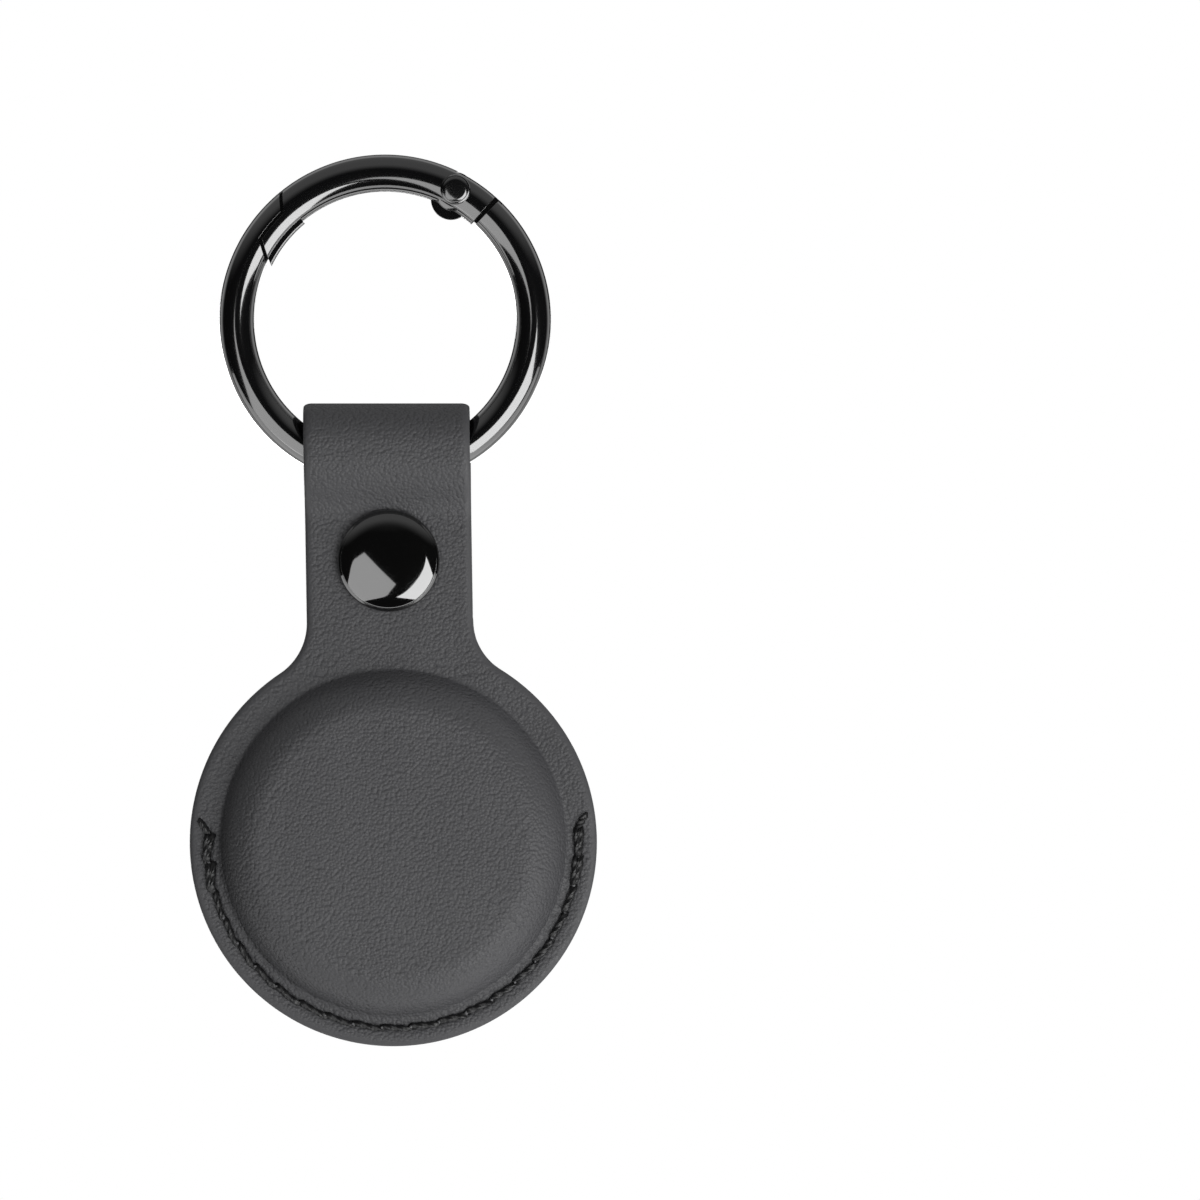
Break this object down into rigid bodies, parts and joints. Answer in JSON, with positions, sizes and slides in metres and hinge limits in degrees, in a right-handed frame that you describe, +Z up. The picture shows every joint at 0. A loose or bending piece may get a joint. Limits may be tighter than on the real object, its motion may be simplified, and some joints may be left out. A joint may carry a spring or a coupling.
{
  "type": "tracker tag holder",
  "caption": "Leather key-ring holder for a round tracker tag: a moulded pocket with a back window, a strap folded over a spring gate ring, and a snapped back flap.",
  "frame": {"origin": "the centre of the ring, in the plane of its wire, where a hook or another ring passes through", "axes": "+Z up along the strap with the holder hanging below the ring; the closed front of the pocket faces -Y and the window faces +Y; +X to the right seen from the front"},
  "size_m": [0.0406, 0.0119, 0.0891],
  "materials": {
    "ring_black": "polished black plating on die-cast zinc",
    "rivet_dark": "black plated rivet",
    "spring_steel": "bright spring steel",
    "leather_outer": "matte charcoal coated leather with a fine pebble grain",
    "leather_lining": "dark pebbled lining",
    "sewing_thread": "twisted polyester thread",
    "cap_black": "gloss black enamel",
    "post_steel": "plain steel",
    "snap_dark": "black plated steel"
  },
  "bodies": {
    "ring": {"ring_frame": "ring_black"},
    "gate": {"ring_gate": "ring_black", "hinge_rivet": "rivet_dark", "gate_spring": "spring_steel"},
    "plunger": {"gate_plunger": "spring_steel"},
    "holder": {"front_panel": "leather_outer", "front_lining": "leather_lining", "back_panel": "leather_outer", "back_lining": "leather_lining", "needle_thread": "sewing_thread", "bobbin_thread": "sewing_thread", "front_cap": "cap_black", "front_cap_post": "post_steel", "snap_socket": "snap_dark", "socket_spring": "spring_steel"},
    "flap": {"back_flap": "leather_outer", "back_flap_lining": "leather_lining", "back_cap": "cap_black", "back_cap_post": "post_steel", "snap_stud": "snap_dark"}
  },
  "joints": [
    {"name": "gate_swing", "type": "hinge", "parent": "ring", "child": "gate", "pos_m": [0.00727, 0, 0.01295], "axis": [0, -1, 0], "range_deg": [0, 30], "stiffness_Nm_per_rad": 0.01, "springref_deg": -22.92},
    {"name": "plunger_slide", "type": "slide", "parent": "gate", "child": "plunger", "axis": [-0.9659, 0, 0.2588], "range_m": [0, 0.00053], "deforming": ["gate_spring"]},
    {"name": "holder_swing", "type": "hinge", "parent": "ring", "child": "holder", "pos_m": [0, 0, -0.01358], "axis": [1, 0, 0], "range_deg": [-25, 25]},
    {"name": "flap_open", "type": "hinge", "parent": "holder", "child": "flap", "pos_m": [0, 0.0053, -0.0503], "axis": [-1, 0, 0], "range_deg": [0, 40], "stiffness_Nm_per_rad": 0.004, "deforming": ["socket_spring"]}
  ],
  "couplings": [
    {"joint": "plunger_slide", "follows": "gate_swing", "m_per_rad": 0.001}
  ]
}
